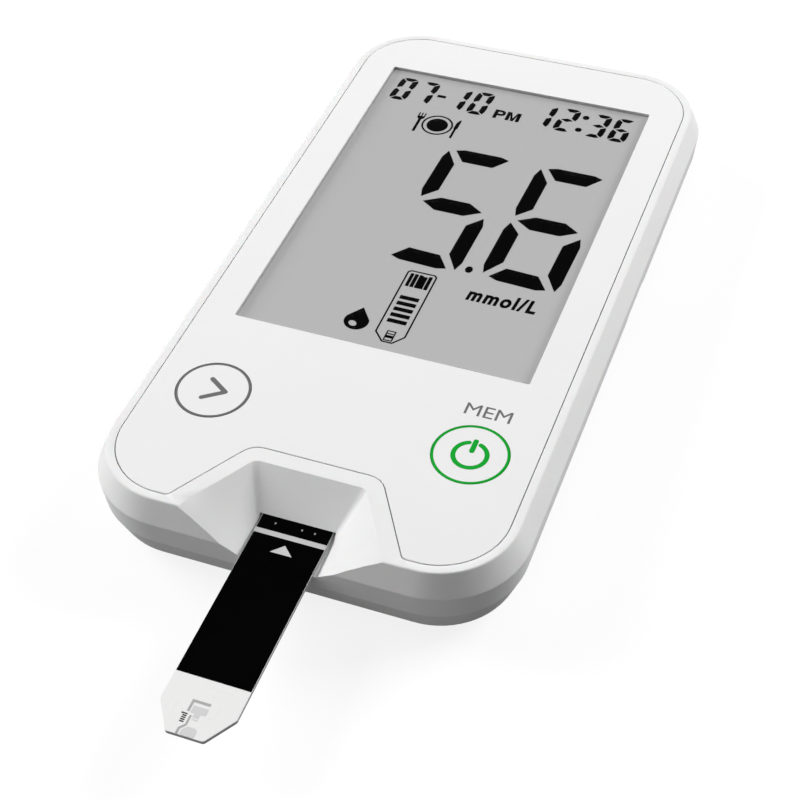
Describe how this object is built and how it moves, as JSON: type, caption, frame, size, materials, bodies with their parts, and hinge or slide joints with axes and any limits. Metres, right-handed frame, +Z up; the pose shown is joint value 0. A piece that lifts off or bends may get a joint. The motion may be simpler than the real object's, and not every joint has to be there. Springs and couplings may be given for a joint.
{
  "type": "blood glucose meter",
  "caption": "Handheld blood glucose meter with a large display, round keys, a moulded funnel that leads a test strip into its slot, a data port and a hinged coin cell cover.",
  "frame": {"origin": "the middle of the flat base that the meter rests on, under the crossing of the body's own middle lines; the test strip lies outside the body and doesn't shift it", "axes": "+Z up through the panel's face, +Y from the strip's end towards the display's end, +X towards the side with the data port"},
  "size_m": [0.05, 0.1177, 0.011],
  "materials": {
    "white_shell": "smooth moulded, satin gloss",
    "white_base": "fine moulded grain",
    "panel_white": "flat, satin",
    "key_white": "flat, satin, with a printed ring and sign",
    "clear_window": "clear, anti-glare",
    "dark_foam": "closed-cell foam",
    "lcd_face": "grey polariser with dark segments",
    "lcd_glass": "polished",
    "reflector_film": "silvery film",
    "frame_white": "moulded",
    "zebra_rubber": "striped elastomer",
    "circuit_board": "green solder mask with copper tracks",
    "chip_black": "moulded epoxy",
    "tinned_steel": "tinned",
    "dark_plastic": "moulded",
    "plunger_yellow": "moulded",
    "gold_contact": "gold-flashed spring strip",
    "cell_steel": "brushed nickel plate",
    "screw_steel": "nickel plated",
    "strip_white": "polyester film",
    "strip_print": "printed film"
  },
  "bodies": {
    "meter": {"top_shell": "white_shell", "bottom_shell": "white_base", "front_panel": "panel_white", "display_window": "clear_window", "display_gasket": "dark_foam", "lcd_front_glass": "lcd_face", "lcd_rear_glass": "lcd_glass", "lcd_reflector": "reflector_film", "display_frame": "frame_white", "lcd_connector": "zebra_rubber", "main_board": "circuit_board", "processor_chip": "chip_black", "memory_chip": "chip_black", "clock_crystal": "tinned_steel", "temperature_sensor": "chip_black", "buzzer": "dark_plastic", "key_switches": "dark_plastic", "strip_connector": "dark_plastic", "strip_contacts": "gold_contact", "usb_shell": "tinned_steel", "usb_tongue": "dark_plastic", "coin_cell": "cell_steel", "cell_positive_contact": "gold_contact", "cell_negative_contact": "gold_contact", "housing_screws": "screw_steel", "board_screws": "screw_steel"},
    "next_button": {"next_key": "key_white", "next_switch_plunger": "plunger_yellow"},
    "power_button": {"power_key": "key_white", "power_switch_plunger": "plunger_yellow"},
    "test_strip": {"strip_base": "strip_white", "strip_spacer": "strip_white", "strip_cover": "strip_print"},
    "cell_cover": {"battery_cover": "white_base"}
  },
  "joints": [
    {"name": "next_press", "type": "slide", "parent": "meter", "child": "next_button", "axis": [0, 0, -1], "range_m": [0, 0.0003], "stiffness_N_per_m": 500},
    {"name": "power_press", "type": "slide", "parent": "meter", "child": "power_button", "axis": [0, 0, -1], "range_m": [0, 0.0003], "stiffness_N_per_m": 500},
    {"name": "strip_slide", "type": "slide", "parent": "meter", "child": "test_strip", "axis": [0, -1, 0], "range_m": [0, 0.014]},
    {"name": "cover_hinge", "type": "hinge", "parent": "meter", "child": "cell_cover", "pos_m": [0, 0.005, 0.00015], "axis": [-1, 0, 0], "range_deg": [0, 60]}
  ]
}
